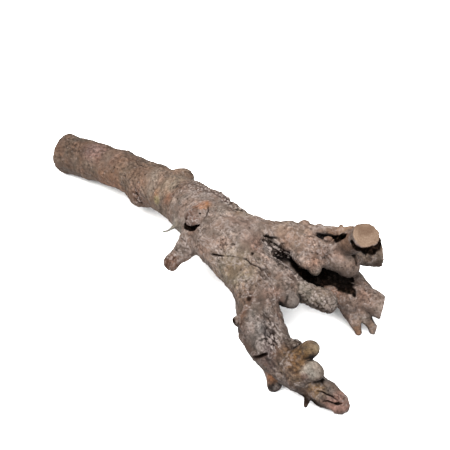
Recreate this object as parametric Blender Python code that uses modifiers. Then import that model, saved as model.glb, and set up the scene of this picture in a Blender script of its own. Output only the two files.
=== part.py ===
"""A dry shrub root: a sawn stem that swells into a crown of roots, cut and broken short.

The whole root grew as one piece, so it is one solid. Each limb is a curve whose radius
follows its points. The limbs and knots are fused in a voxel remesh, roughened by noise and
marked with the cracks that drying opened. A second remesh takes out any fold that this made.
The skin is then thinned to fewer faces, and sawn last, so that the sawn ends stay flat.

Lengths are in millimetres and are turned into metres where they reach Blender. The frame
has +X along the stem from its sawn end to the crown, and +Z up from the ground.
"""

import math

import bmesh
import bpy
from mathutils import Matrix, Vector, noise
from mathutils.geometry import intersect_point_line

MM = 0.001
ROOT_NAME = "dry_root"

VOXEL = 1.0
FIRST_SMOOTH_ROUNDS = 7
LAST_SMOOTH_ROUNDS = 1
SMOOTH_SHARE = 0.5
TRIANGLES = 9000
CURVE_STEPS = 6
RIM_STEPS = 4
# The middle of the finished root, seen from above. All is moved by it, to stand over the origin.
MIDDLE = Vector((4.15, -6.15, 0))
# Each swelling of the bark is its length and its height, from the longest to the shortest.
SWELLINGS = ((34, 2.2), (15, 1.6), (7, 1.0))

BARK_COLOUR = (0.235, 0.165, 0.13, 1.0)
BARK_ROUGHNESS = 0.85

# Each limb is a list of (x, y, z, radius) along its middle, from the crown outwards.
LIMBS = {
    "stem": [
        (55, -16, 46, 18), (41.5, -18, 45, 21), (23, -14.5, 43, 21), (-0.5, -9, 40, 19.2),
        (-25.5, -3.5, 36, 17.2), (-48, -1, 32, 15.8), (-71.5, -2, 28, 15.2), (-97.5, -3, 24, 15.6),
        (-125, -5.5, 20.5, 15.6), (-146.5, -10.5, 18, 15.4), (-163, -15, 16, 16.2),
        (-174.5, -19.5, 15.4, 16.4),
    ],
    "lower_root": [
        (40.5, -20.5, 44, 19), (61, -25.5, 40, 17.2), (79, -32.5, 35, 13.4), (95, -43, 30, 13.8),
        (109, -51, 25, 14.8), (124, -53, 20, 12.8), (140, -52.5, 16, 9.6), (152, -50.5, 13, 8.2),
        (162, -48.5, 10.5, 8.2), (168, -47.5, 9.5, 7.4),
    ],
    "upper_root": [
        (40, -15, 46, 18.4), (56.5, -9, 49, 14), (67, 0.5, 50, 13), (76, 8.5, 50, 12.4),
        (83.5, 12, 49, 10.6),
    ],
    "bridge_root": [
        (70.5, 5.5, 56.5, 5.6), (79.5, 13.5, 58, 4.4), (87.5, 20, 59, 3.6), (96, 26.5, 60, 3.2),
        (106, 31, 62, 3.8), (113.5, 32, 62, 4.6),
    ],
    "high_stub": [
        (97, 21, 46, 8), (106, 24, 55, 8.4), (115, 26, 64, 9.4), (123, 25.5, 74, 9.8), (130.5, 24, 83, 9.8),
    ],
    "side_block": [(89.5, 18, 45, 8), (102, 30, 45, 8.6), (110.5, 41.5, 44, 9.8), (122, 55.5, 43, 9.8)],
    "hooked_root": [
        (76.5, 4, 51, 10.6), (86.5, 8.5, 51, 10), (95.5, 12.5, 50, 8.8), (103, 18, 48, 8.2),
        (108.5, 23, 45, 7.6), (111, 25.5, 41, 5.2),
    ],
    "small_nub": [(90, 2.5, 49, 5.2), (97.5, 2, 47, 4.6), (102.5, 2.5, 44, 3.8)],
    "scaly_finger": [
        (63, -22, 43, 14.6), (80, -18, 40, 11.8), (94, -15.5, 38, 9.4), (106, -12, 36, 7.8),
        (116.5, -9, 33.5, 7.6), (122, -5, 32.5, 6.6),
    ],
    "pale_nub": [(88, -30.5, 38, 7.8), (98.5, -27.5, 36, 5.8), (105.5, -23.5, 35, 5.2)],
    "web": [
        (67.5, 14.5, 32, 10.4), (82, 21.5, 28, 9.6), (97, 28.5, 24, 8.8), (109, 33, 21, 7.8),
        (119.5, 32.5, 19, 5.4),
    ],
    "crotch": [(59.5, -5, 38, 13.6), (69, 4.5, 35, 11.2), (81, 12, 31, 9.2)],
    "low_root": [
        (74, 2.5, 34, 9.4), (93, 7.5, 28, 10), (108.5, 12.5, 25, 9.4), (120.5, 19, 23, 9.2),
        (130.5, 24, 20.5, 8.6), (145, 33.5, 17, 8),
    ],
    "long_prong": [(120, 18, 22, 8.4), (125, 16, 15, 6.4), (131.5, 13, 9, 4), (135.5, 12, 4, 3)],
    "short_prong": [(130, 19, 17, 5), (135.5, 20, 11, 4.4), (141, 20.5, 6, 4)],
    "down_prong": [(113, -59, 22, 8), (120.5, -59.5, 14, 5.6), (125, -60.5, 8, 4.6), (128, -62.5, 4.4, 4.4)],
    "amber_nub": [(138, -56, 24, 7.8), (140, -50, 30, 5.8), (142, -46, 35, 5.6)],
    "grey_knob": [(142.5, -56.5, 20, 7.8), (149.5, -52.5, 27, 6.4)],
    "side_stub": [(16.5, -23, 40, 11.8), (18, -34.5, 36, 8), (18.5, -44.5, 33, 6.2), (19.5, -55, 30, 6)],
    "twig": [(5, -25.5, 42, 5.6), (2, -29.5, 41, 3.4), (-0.5, -33.5, 40, 2.4), (-1.5, -41.5, 39.5, 1.9)],
    "tap_foot": [(40, -14.5, 38, 13.8), (37, -4, 20, 9.2), (31.5, 5.5, 6, 6.6)],
}

# Each knot is a middle, the three half sizes, and its turn about +Z in degrees.
KNOTS = {
    "face_burl": ((18.5, -25.5, 55.5), (10, 8.6, 8.2), -25),
    "top_knot": ((-39, 11.5, 43), (10, 7.4, 7.2), 10),
    "under_knot": ((-71, -10, 19.5), (13, 9.6, 9.6), 5),
    "lower_burl": ((104, -54.5, 31.5), (14, 9, 9.6), -20),
    "left_bump": ((93, -58, 31.5), (3.4, 3.2, 3.2), 0),
    "shoulder": ((14, -5, 51), (12, 9, 8.6), 0),
    "crown_heart": ((50, -13, 47), (19, 16, 16.5), -10),
    "crown_step": ((28, -8, 55), (6, 6, 5.4), 0),
    "crown_fill": ((52, -12, 57), (8, 5, 5), -40),
    "stem_bump": ((-129.5, -2.5, 30.5), (6, 4, 4.2), 0),
    "stem_ridge": ((-80, 3.5, 35.5), (7, 4, 4), 0),
    "stem_foot": ((-154.5, -20, 7), (5, 4, 4), 0),
    "right_scale": ((129.5, -46.5, 30.5), (4, 3, 3), 0),
    "spike": ((153, -59.5, 9), (2.6, 2.6, 2.6), 0),
    "slot_lump": ((94, 19.5, 55), (3.4, 2.6, 2.6), 40),
    "slot_floor": ((93, 24, 51), (8, 8.4, 6), 40),
    "gap_floor": ((77, -6, 35), (9, 7.5, 6.4), 40),
}

# Each crack is its half width, its depth and a line of points on the bark.
CRACKS = {
    "crown_crack": (2.2, 1.8, [
        (46, -40, 48), (54, -39, 50.5), (64.5, -34.5, 53.5), (70, -30.5, 54), (74, -30.5, 52.5),
        (78.5, -28, 50), (84, -24.5, 49.5),
    ]),
    "crown_slot": (2, 2.4, [(65, -11, 59), (68.5, -7, 58.5), (73.5, -3, 59.5)]),
    "crown_gap": (3.4, 2.8, [(74, -7, 56.5), (78.5, -5, 52), (82.5, -3.5, 49), (82.5, 2, 41)]),
    "burl_rim": (2.2, 3.2, [
        (13, -32.5, 49.5), (19.5, -34, 51.5), (25.5, -34, 54), (30.5, -33, 57.5), (30.5, -29.5, 60.5),
    ]),
    "knot_eye": (1.8, 2, [(-66, -15, 27), (-62.5, -15, 24), (-60, -13.5, 20)]),
    "lower_burl_crack": (1.8, 2, [(114.5, -65.5, 20.5), (118.5, -64, 24.5), (121.5, -62.5, 29)]),
    "tip_hollow": (2.4, 2, [(159, -54, 16.5), (163, -52.5, 15), (166.5, -50, 15.5)]),
}
CRACK_REACH = 8

# Each saw cut is a point on its flat face and the way that the face looks.
SAW_CUTS = {
    "stem_end": ((-161.5, -15.5, 15), (-0.94, -0.32, -0.05)),
    "high_stub_end": ((121, 25, 72.5), (0.51, -0.2, 0.84)),
    "side_block_end": ((116, 49, 43.5), (0.58, 0.81, -0.04)),
    "low_root_end": ((138.5, 29, 18.5), (0.83, 0.54, -0.14)),
}
SAW_SIZE = 60
GROUND_SIZE = (600, 300, 40)


def clear_scene():
    for obj in list(bpy.data.objects):
        bpy.data.objects.remove(obj, do_unlink=True)


def new_collection(name):
    collection = bpy.data.collections.new(name)
    bpy.context.scene.collection.children.link(collection)
    return collection


def placed(point):
    """A point given in millimetres, moved to stand over the origin, in metres."""
    return (Vector(point) - MIDDLE) * MM


def limb_curve(name, points):
    """A round limb along a smooth line through the points, with flat ends."""
    curve = bpy.data.curves.new(name, "CURVE")
    curve.dimensions = "3D"
    curve.bevel_depth = MM
    curve.bevel_resolution = RIM_STEPS
    curve.resolution_u = CURVE_STEPS
    curve.use_fill_caps = True
    spline = curve.splines.new("BEZIER")
    spline.bezier_points.add(len(points) - 1)
    for point, (x, y, z, radius) in zip(spline.bezier_points, points):
        point.co = placed((x, y, z))
        point.radius = radius
        point.handle_left_type = "AUTO"
        point.handle_right_type = "AUTO"
    return bpy.data.objects.new(name, curve)


def add_limb(target, name, points):
    """Adds the limb to the bmesh as a closed tube, with a ball in its tip to round it."""
    obj = limb_curve(name, points)
    bpy.context.scene.collection.objects.link(obj)
    graph = bpy.context.evaluated_depsgraph_get()
    mesh = bpy.data.meshes.new_from_object(obj.evaluated_get(graph))
    target.from_mesh(mesh)
    bpy.data.objects.remove(obj, do_unlink=True)
    bpy.data.meshes.remove(mesh)
    x, y, z, radius = points[-1]
    add_ball(target, (x, y, z), (radius, radius, radius), 0)


def add_ball(target, middle, half_sizes, heading):
    """Adds a ball to the bmesh, stretched to its half sizes and turned about +Z."""
    made = bmesh.ops.create_icosphere(target, subdivisions=3, radius=MM)
    bmesh.ops.scale(target, vec=Vector(half_sizes), verts=made["verts"])
    turn = Matrix.Rotation(math.radians(heading), 3, "Z")
    bmesh.ops.rotate(target, cent=(0, 0, 0), matrix=turn, verts=made["verts"])
    bmesh.ops.translate(target, vec=placed(middle), verts=made["verts"])


def limb_mesh():
    """All the limbs and knots as closed shapes that reach into each other."""
    body = bmesh.new()
    for name, points in LIMBS.items():
        add_limb(body, name, points)
    for middle, half_sizes, heading in KNOTS.values():
        add_ball(body, middle, half_sizes, heading)
    mesh = bpy.data.meshes.new("limbs")
    body.to_mesh(mesh)
    body.free()
    return mesh


def fused(mesh, smooth_rounds):
    """The one outer skin of a mesh whose parts cross each other, with its creases softened."""
    crossing = bpy.data.objects.new("crossing", mesh)
    bpy.context.scene.collection.objects.link(crossing)
    remesh = crossing.modifiers.new("Fuse", "REMESH")
    remesh.mode = "VOXEL"
    remesh.voxel_size = VOXEL * MM
    smooth = crossing.modifiers.new("Soften", "SMOOTH")
    smooth.factor = SMOOTH_SHARE
    smooth.iterations = smooth_rounds
    graph = bpy.context.evaluated_depsgraph_get()
    skin = bpy.data.meshes.new_from_object(crossing.evaluated_get(graph))
    bpy.data.objects.remove(crossing, do_unlink=True)
    return skin


def swelling(place):
    """How far the bark stands out or in at a place, both in millimetres."""
    return sum(
        height * noise.noise(place / length + Vector((turn, 0, 0)))
        for turn, (length, height) in enumerate(SWELLINGS)
    )


def crack_depth(place, normal):
    """How far cracks take a place in, by its distance from them along the bark."""
    deepest = 0
    for half_width, depth, line in CRACKS.values():
        for start, end in zip(line, line[1:]):
            share = intersect_point_line(place, start, end)[1]
            away = place - Vector(start).lerp(Vector(end), min(max(share, 0), 1))
            if away.length < CRACK_REACH:
                along_bark = away - normal * away.dot(normal)
                deepest = max(deepest, depth * (1 - along_bark.length / half_width))
    return deepest


def roughen(mesh):
    """Moves each vertex along its normal. The normals are read first, before any has moved."""
    normals = [vertex.normal.copy() for vertex in mesh.vertices]
    for vertex, normal in zip(mesh.vertices, normals):
        place = vertex.co / MM + MIDDLE
        vertex.co += normal * (swelling(place) - crack_depth(place, normal)) * MM


def saw_cutter(name, point, facing, collection):
    """A block whose one face is the saw cut, and which takes away all beyond it."""
    bpy.ops.mesh.primitive_cube_add(size=SAW_SIZE * MM)
    block = bpy.context.object
    block.name = name
    way = Vector(facing).normalized()
    block.rotation_euler = way.to_track_quat("Z", "Y").to_euler()
    block.location = placed(Vector(point) + way * SAW_SIZE / 2)
    put_aside(block, collection)


def ground_cutter(collection):
    """A slab that shaves the lowest points to small flat spots at the ground."""
    bpy.ops.mesh.primitive_cube_add(size=MM)
    slab = bpy.context.object
    slab.name = "ground"
    slab.scale = GROUND_SIZE
    slab.location = (0, 0, -GROUND_SIZE[2] / 2 * MM)
    put_aside(slab, collection)


def put_aside(cutter, collection):
    for old in cutter.users_collection:
        old.objects.unlink(cutter)
    collection.objects.link(cutter)
    cutter.hide_render = True
    cutter.display_type = "WIRE"


def bark_material():
    material = bpy.data.materials.new("dry_bark")
    material.use_nodes = True
    shader = material.node_tree.nodes["Principled BSDF"]
    shader.inputs["Base Color"].default_value = BARK_COLOUR
    shader.inputs["Roughness"].default_value = BARK_ROUGHNESS
    shader.inputs["Metallic"].default_value = 0.0
    return material


def main():
    clear_scene()
    parts = new_collection(ROOT_NAME)
    cutters = new_collection("cutters")
    mesh = fused(limb_mesh(), FIRST_SMOOTH_ROUNDS)
    roughen(mesh)
    mesh = fused(mesh, LAST_SMOOTH_ROUNDS)
    mesh.name = ROOT_NAME
    root = bpy.data.objects.new(ROOT_NAME, mesh)
    parts.objects.link(root)
    mesh.materials.append(bark_material())
    mesh.shade_smooth()
    thin = root.modifiers.new("Fewer faces", "DECIMATE")
    thin.ratio = TRIANGLES / sum(len(face.vertices) - 2 for face in mesh.polygons)
    thin.use_collapse_triangulate = True
    for name, (point, facing) in SAW_CUTS.items():
        saw_cutter(name, point, facing, cutters)
    ground_cutter(cutters)
    saw = root.modifiers.new("Saw cuts", "BOOLEAN")
    saw.operation = "DIFFERENCE"
    saw.operand_type = "COLLECTION"
    saw.collection = cutters
    saw.solver = "EXACT"


main()
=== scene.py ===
"""A dry shrub root on a pale floor: its bark, cracks, hollows, flakes and sawn ends.

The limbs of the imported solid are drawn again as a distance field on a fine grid, from nearly the
same middles and radii, so that hollows and small forms can be cut finely. Some hollows are deeper
here, and a few small lumps are here alone. Lengths are in millimetres in the part's own drawing,
and become metres where they reach Blender. MIDDLE is the same shift that the part's source uses.
"""

import math

import bpy
import numpy as np
import openvdb
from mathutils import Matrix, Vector
from mathutils import noise as blender_noise


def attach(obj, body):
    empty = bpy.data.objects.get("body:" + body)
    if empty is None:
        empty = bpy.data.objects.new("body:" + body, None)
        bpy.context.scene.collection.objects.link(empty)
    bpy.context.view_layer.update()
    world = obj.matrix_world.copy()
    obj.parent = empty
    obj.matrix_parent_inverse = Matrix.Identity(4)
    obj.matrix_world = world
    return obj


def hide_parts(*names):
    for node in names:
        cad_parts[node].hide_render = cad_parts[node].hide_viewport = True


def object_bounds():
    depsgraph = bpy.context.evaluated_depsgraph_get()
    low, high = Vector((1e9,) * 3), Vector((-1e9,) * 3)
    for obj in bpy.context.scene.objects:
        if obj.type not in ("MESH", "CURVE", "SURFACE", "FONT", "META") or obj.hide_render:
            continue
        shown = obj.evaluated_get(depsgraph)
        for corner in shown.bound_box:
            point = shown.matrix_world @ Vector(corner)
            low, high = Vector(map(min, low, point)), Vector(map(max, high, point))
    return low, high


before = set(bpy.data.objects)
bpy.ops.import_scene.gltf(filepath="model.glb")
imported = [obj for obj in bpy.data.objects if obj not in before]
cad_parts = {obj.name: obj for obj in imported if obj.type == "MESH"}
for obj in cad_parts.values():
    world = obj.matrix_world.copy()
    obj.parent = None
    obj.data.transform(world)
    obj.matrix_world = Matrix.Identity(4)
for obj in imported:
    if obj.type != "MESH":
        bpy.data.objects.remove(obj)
CAD_BOX = [list(corner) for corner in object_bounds()]

MM = 0.001
MIDDLE = np.array([4.15, -6.15, 0.0])

# ---- camera, floor and light, with angles in degrees and lengths in metres
VIEW_TURN, VIEW_TILT, VIEW_DISTANCE = 47, 38, 0.640
VIEW_TARGET = Vector((0.00885, 0.01015, 0.030))
SENSOR_WIDTH, HALF_VIEW = 36, 14.2
# Each light is its turn, tilt, distance, size, power in watts and colour.
LIGHTS = {
    "key": (15, 66, 1.1, 1.2, 55.0, (1.0, 0.985, 0.965)),
    "fill": (75, 40, 1.3, 0.9, 13.75, (0.97, 0.985, 1.0)),
}
FLOOR_REACH, FLOOR_DROP, FLOOR_GREY = 3, 0.0002, 0.93
# How much brighter than its surface colour a place shows where the light falls full.
LIGHT_GAIN = 3.75


def shown(*screen):
    """The surface colour that shows as these 0 to 255 screen values where the light falls full."""
    shares = [value / 255 for value in screen]
    return tuple((share / 12.92 if share < 0.0404 else ((share + 0.055) / 1.055) ** 2.4) / LIGHT_GAIN
                 for share in shares)


def add_object(name, data):
    obj = bpy.data.objects.new(name, data)
    bpy.context.scene.collection.objects.link(obj)
    return obj


def add_facing(name, data, turn, tilt, distance):
    """An object that looks at the view's target, turned about +Z and tilted downwards."""
    obj = add_object(name, data)
    turn, tilt = math.radians(turn), math.radians(tilt)
    way = Vector((-math.sin(turn) * math.cos(tilt), math.cos(turn) * math.cos(tilt), -math.sin(tilt)))
    obj.location = VIEW_TARGET - way * distance
    obj.rotation_mode = "QUATERNION"
    obj.rotation_quaternion = way.to_track_quat("-Z", "Y")
    return obj


def add_camera():
    data = bpy.data.cameras.new("camera")
    data.sensor_width = SENSOR_WIDTH
    data.lens = SENSOR_WIDTH / 2 / math.tan(math.radians(HALF_VIEW))
    bpy.context.scene.camera = add_facing("camera", data, VIEW_TURN, VIEW_TILT, VIEW_DISTANCE)


def add_light(name, turn, tilt, distance, size, power, colour):
    data = bpy.data.lights.new(name, "AREA")
    data.shape = "DISK"
    data.size = size
    data.energy = power
    data.color = colour
    add_facing(name, data, turn, tilt, distance)


def add_floor():
    mesh = bpy.data.meshes.new("floor")
    corners = [(FLOOR_REACH * x, FLOOR_REACH * y, 0) for x, y in ((-1, -1), (1, -1), (1, 1), (-1, 1))]
    mesh.from_pydata(corners, [], [(0, 1, 2, 3)])
    floor = add_object("floor", mesh)
    floor.location = (0, 0, -FLOOR_DROP)
    material = bpy.data.materials.new("floor")
    material.use_nodes = True
    inputs = material.node_tree.nodes["Principled BSDF"].inputs
    inputs["Base Color"].default_value = (FLOOR_GREY, FLOOR_GREY, FLOOR_GREY, 1)
    inputs["Roughness"].default_value = 0.9
    inputs["Specular IOR Level"].default_value = 0.1
    mesh.materials.append(material)


def add_world():
    world = bpy.data.worlds.new("studio")
    world.use_nodes = True
    background = world.node_tree.nodes["Background"]
    background.inputs["Color"].default_value = (1, 1, 1, 1)
    background.inputs["Strength"].default_value = 1.0
    bpy.context.scene.world = world
    bpy.context.scene.view_settings.view_transform = "Standard"


add_camera()
add_floor()
add_world()
for light_name, light in LIGHTS.items():
    add_light(light_name, *light)

# ---- the limbs
# Each limb is how softly it joins the others, then (x, y, z, radius) along its middle. The deep
# limbs lie between the others, and hollows are cut into them before the rest join.
DEEP_LIMBS = {
    "web": (3.0, [(67.5, 14.5, 32, 9.6), (81.5, 22, 27, 8.6), (95.5, 30.5, 23, 8), (108, 34, 20.5, 7.6),
        (119, 33, 18.5, 5.6)]),
    "crotch": (3.0, [(59.5, -5, 38, 13.6), (66.5, 6, 32, 9.6), (79, 13.5, 26, 8)]),
    "low_root": (3.0, [(74, 2.5, 34, 8.4), (93, 7.5, 28, 7), (109, 12, 25, 6.6), (119.5, 15.5, 22, 7),
        (124.5, 22, 21, 8.4), (131.5, 25, 20.5, 8.8), (145.5, 33.5, 17, 8.2)]),
    "low_root_back": (2.0, [(84, 15, 25, 7.4), (94.5, 15.5, 22.5, 7.6), (104, 19, 20.5, 7.4),
        (112.5, 22.5, 20, 7.4), (121, 25, 19, 6.8)]),
    "long_prong": (2.0, [(121, 16.5, 22, 8.4), (124.5, 16, 15, 6.6), (130.5, 13, 9, 4.6),
        (133.5, 13, 4, 3.8)]),
    "short_prong": (1.5, [(130, 19, 17, 5.6), (134.5, 20, 11, 4.8), (140, 20.5, 6, 4.4)]),
}
OUTER_LIMBS = {
    "stem": (3.0, [(55, -16, 46, 18), (41.5, -18, 45, 21), (23, -14.5, 43, 21), (-0.5, -9, 40, 19.2),
        (-25.5, -3.5, 36, 17.2), (-48, -1, 32, 15.8), (-71.5, -2, 28, 15.2), (-97.5, -3, 24, 15.6),
        (-125, -5.5, 20.5, 15.6), (-146.5, -10.5, 18, 15.4), (-163, -15, 16, 16.2),
        (-174.5, -19.5, 15.4, 16.4)]),
    "lower_root": (3.5, [(40.5, -20.5, 44, 19), (61, -25.5, 40, 17.2), (79, -32.5, 35, 13.4),
        (95, -43, 30, 13.8), (109, -51, 25, 14.8), (124, -53, 20, 12.8), (140, -52.5, 16, 9.6),
        (152, -50.5, 13, 8.2), (162, -48.5, 10.5, 8.2), (168, -47.5, 9.5, 7.4)]),
    "upper_root": (3.5, [(40, -15, 46, 18.4), (56.5, -9, 49, 14), (67, 0.5, 50, 13), (76, 8.5, 50, 12.4),
        (83.5, 12, 49, 10.6)]),
    "bridge_root": (1.6, [(70.5, 5.5, 56.5, 5.6), (79.5, 13.5, 58, 4.4), (87.5, 20, 59, 3.4),
        (96, 26.5, 60, 3.6), (106, 31, 62, 4.2), (113.5, 32, 62, 4.6)]),
    "high_stub": (2.0, [(97, 21, 46, 7.4), (106, 24, 55, 7.6), (115, 25.5, 64.5, 8), (122.5, 25.5, 76, 9.4),
        (129, 24.5, 84.5, 9.6)]),
    "side_block": (2.0, [(89.5, 18, 45, 8), (102, 30, 45, 8.6), (110.5, 41.5, 44, 9.8),
        (122, 55.5, 43, 9.8)]),
    "hooked_root": (2.0, [(76.5, 4, 51, 10.6), (86.5, 8.5, 51, 10), (95.5, 12.5, 50, 8.8),
        (103, 18, 48, 8.2), (108.5, 22.5, 45, 8.2), (111, 23, 42, 6.8)]),
    "small_nub": (1.2, [(89, 2, 49, 5.2), (96, 2, 47, 4.6), (101, 1.5, 44.5, 4)]),
    "scaly_finger": (2.5, [(63, -22, 43, 14.4), (80, -18, 40, 10.4), (95, -14, 38, 7.8),
        (106.5, -12, 36, 7), (116, -8, 33.5, 7.3), (121, -5.5, 32.5, 6.5)]),
    "pale_nub": (1.2, [(88, -30.5, 38, 7.8), (98, -27, 36, 5.4), (105.5, -23, 35.5, 4.9)]),
    "down_prong": (1.5, [(113.5, -58.5, 22, 7.4), (120.5, -58.5, 14, 5.6), (125, -59.5, 8, 4.8),
        (127.5, -61, 4.6, 4.4)]),
    "amber_nub": (1.5, [(138, -56, 24, 7.6), (139, -50.5, 30, 5), (141.5, -45, 35, 4.6)]),
    "grey_knob": (1.2, [(142.5, -56.5, 20, 7.6), (149.5, -52.5, 27, 6.3)]),
    "side_stub": (3.0, [(16.5, -23, 40, 11.8), (18, -34.5, 36, 7.8), (18.5, -44, 33, 5.9),
        (19, -52, 30, 5.8)]),
    "twig": (1.5, [(5, -25.5, 42, 5.6), (1, -28.5, 41, 3), (0, -32.5, 40.4, 1.8), (0, -38, 40, 1.4),
        (-2, -40.5, 39.5, 1.2)]),
    "spike": (1.2, [(151.5, -55.5, 12, 3.4), (153, -58.5, 9.5, 2.4), (154.2, -61, 7, 1.3)]),
    "tap_foot": (3.5, [(40, -14.5, 38, 13.8), (37, -4, 20, 9.2), (31.5, 5.5, 6, 6.6)]),
}

# Each knot is how softly it joins, a middle, the three half sizes, and its turn about +Z in degrees.
DEEP_KNOTS = {
    "gap_floor": (2.0, (77, -6, 33), (9, 7.5, 6), 40),
    "slot_floor": (2.0, (95, 26, 50.5), (12, 8, 6), 40),
}
OUTER_KNOTS = {
    "face_burl": (1.5, (18.5, -25.5, 55.5), (10, 8.6, 8.2), -25),
    "top_knot": (4.0, (-40, 10.8, 43), (10, 7.4, 7), 10),
    "under_knot": (5.0, (-68.5, -9, 20.2), (14, 9.8, 9.8), 5),
    "lower_burl": (1.5, (104, -55, 32.5), (13.4, 8.6, 10), -20),
    "left_bump": (1.0, (93, -58, 31.5), (3.6, 3.4, 3.4), 0),
    "shoulder": (2.0, (14, -4.5, 52), (12, 9, 9), 0),
    "crown_heart": (3.0, (50, -13, 47), (19, 16, 16.5), -10),
    "crown_step": (1.5, (27, -8, 54.6), (5.6, 6, 5.4), 0),
    "crown_fill": (3.0, (52, -12, 57), (8, 5, 5), -40),
    "stem_bump": (1.5, (-129.5, -2.5, 30.5), (6, 4, 4.2), 0),
    "stem_ridge": (2.0, (-80, 3.5, 35.5), (7, 4, 4), 0),
    "stem_foot": (1.5, (-154.5, -20, 7), (5, 4, 4), 0),
    "right_scale": (0.8, (129.5, -46.5, 30.5), (4, 3, 3.2), 0),
    "nub_shoulder": (2.0, (91.5, -1, 48.5), (8.5, 5.4, 5.6), -5),
    "nub_web": (2.0, (98, 6, 47.5), (6, 4.5, 4), 30),
    "crown_lip": (0.7, (29, -9, 60.4), (5.5, 4, 3.0), -10),
    "finger_root": (2.5, (97, -22.5, 41.5), (9, 6, 5), 20),
    "bridge_lump": (0.8, (87, 20.5, 61.5), (2.8, 2.2, 2.4), 40),
    "bridge_bud": (0.6, (98, 29, 64), (2, 2, 2), 0),
    "crown_scale": (0.8, (77.5, 15, 61), (4, 3.4, 3), 40),
}

# Each hollow is how softly its rim is rounded, how uneven it is, how black its painted shade is inside,
# then (x, y, z, radius) along it.
DEEP_HOLLOWS = {
    "pit": (1.0, 0.8, 0.9, [(97, 13, 34.5, 4), (103.5, 14.5, 32, 5.6), (110, 17, 29, 6.2),
        (115.5, 18, 26.5, 5.6), (119, 17, 24.5, 3.8)]),
    "pit_link": (1.0, 0.8, 0.85, [(97, 5, 35.5, 4.4), (101.5, 8, 34, 4.6), (105, 12, 32, 4.4)]),
    "pit_back": (1.0, 0.5, 0.85, [(94.5, 22, 30, 4), (102, 25, 27, 5), (109.5, 27, 25, 4)]),
    "gap": (1.0, 0.8, 1.0, [(79.5, 0, 45, 2.4), (84, 0.5, 41, 3.6), (90.5, 1, 38, 4.6), (97.5, 1.5, 35, 5),
        (103, 3, 32, 4.2)]),
    "gap_deep": (1.0, 0.5, 1.0, [(79.5, 6.5, 36, 3.4), (85.5, 7.5, 32, 4.8), (92.5, 8, 29, 4.6),
        (97, 9, 27, 3.4)]),
}
HOLLOWS = {
    "gap_edge": (0.5, 1.6, 0.8, [(79.5, -5.5, 47, 1.2), (84.5, -4.6, 45.5, 1.9), (91.5, -4.2, 43.3, 2.5),
        (98, -4, 41, 2.8), (103.5, -3, 38, 2.8), (106.5, -1, 35, 2)]),
    "slot_near": (0.5, 0.3, 1.0, [(94, 16.5, 59, 0.5), (98.5, 18, 60.5, 1.6), (104.5, 20, 63, 2.4),
        (109.5, 20.5, 66.5, 1.8)]),
    "slot_far": (0.5, 0.3, 1.0, [(96, 21.5, 57.5, 0.8), (99.5, 22.5, 57.5, 2.2), (104.5, 24.5, 60, 2.7),
        (109, 24, 63.5, 2.4)]),
    "hook_valley": (1.0, 0.4, 0.7, [(108, 23.5, 59, 1.2), (112, 24.5, 55, 1.8), (116, 25.5, 51, 2),
        (118.5, 24.5, 47, 1.6)]),
    "stub_band": (0.6, 0.2, 1.0, [(117, 16.4, 68.3, 1.8), (121.9, 17.5, 65.6, 2.8), (125.9, 20.5, 64, 3.2),
        (127.9, 25.4, 63.8, 3.2), (127.6, 30.3, 65, 2.9), (125.6, 33.5, 66.9, 2.0)]),
    "burl_undercut": (0.4, 0.3, 1.0, [(14, -33.5, 50.2, 1.6), (18, -34, 51.2, 2.0), (23, -34, 53.5, 1.7),
        (27.5, -32.5, 56.5, 1.0)]),
    "side_stub_end": (0.8, 0.8, 0.35, [(20.5, -56.5, 35, 1.8), (21.5, -57.5, 32, 2.4),
        (20, -58.5, 29.5, 2)]),
    "pit_brown": (0.8, 0.3, 0.3, [(89, -49.5, 46, 1.2), (92.5, -50, 44.5, 1.6)]),
    "knob_line": (0.5, 0.2, 0.9, [(152, -60, 21.5, 0.8), (155, -57.5, 22, 1.3), (156.5, -52, 22, 1.4),
        (155.5, -47.5, 21, 0.8)]),
    "hook_groove": (1.5, 0.4, 0.35, [(105, 15, 60, 1.6), (105, 12, 56, 2), (104, 7.5, 51.5, 1.6)]),
    "burl_valley": (1.5, 0.5, 0.25, [(103, -45, 44.5, 1.4), (111, -50.5, 42, 1.8), (116.5, -56.5, 39, 1.8),
        (121.5, -61, 34, 1.4)]),
    "crown_notch": (0.6, 0.5, 0.35, [(36, -9.5, 62.5, 0.7), (36.5, -5, 62, 1.5), (37.5, 0, 61, 2),
        (38, 4, 60, 2.2)]),
    "tip_fold": (0.5, 0.4, 0.8, [(158.5, -54.5, 19, 0.6), (164.5, -53, 18, 1.2), (169, -51, 16.5, 0.9)]),
    "tip_fold_low": (0.5, 0.4, 0.7, [(164, -55.5, 15, 0.5), (168.5, -53, 14.8, 0.9), (172, -49, 14, 0.6)]),
}
LATE_KNOTS = {
    "slot_lump": (0.6, (96.5, 18.5, 58), (3.4, 2.2, 2.2), 40),
}

# Each saw cut is a point on its flat face, the way that the face looks and the wood's radius there.
SAW_CUTS = {
    "stem_end": ((-161.5, -15.5, 15), (-0.94, -0.32, -0.05), 17),
    "high_stub_end": ((121, 25, 73.2), (0.51, -0.2, 0.84), 10.4),
    "side_block_end": ((116, 49, 43.5), (0.58, 0.81, -0.04), 10.5),
    "low_root_end": ((138.5, 29, 18.5), (0.83, 0.54, -0.14), 9.5),
}
# Half the width of the block that a saw cut takes away, and how far around it the field is changed.
SAW_HALF_SIZE, SAW_REACH = 30, 55
# Each swelling of the bark is its length and its height, from the longest to the shortest.
SWELLINGS = ((34, 2.2), (15, 1.6), (7, 1.0))

# ---- noise on arrays of points


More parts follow.
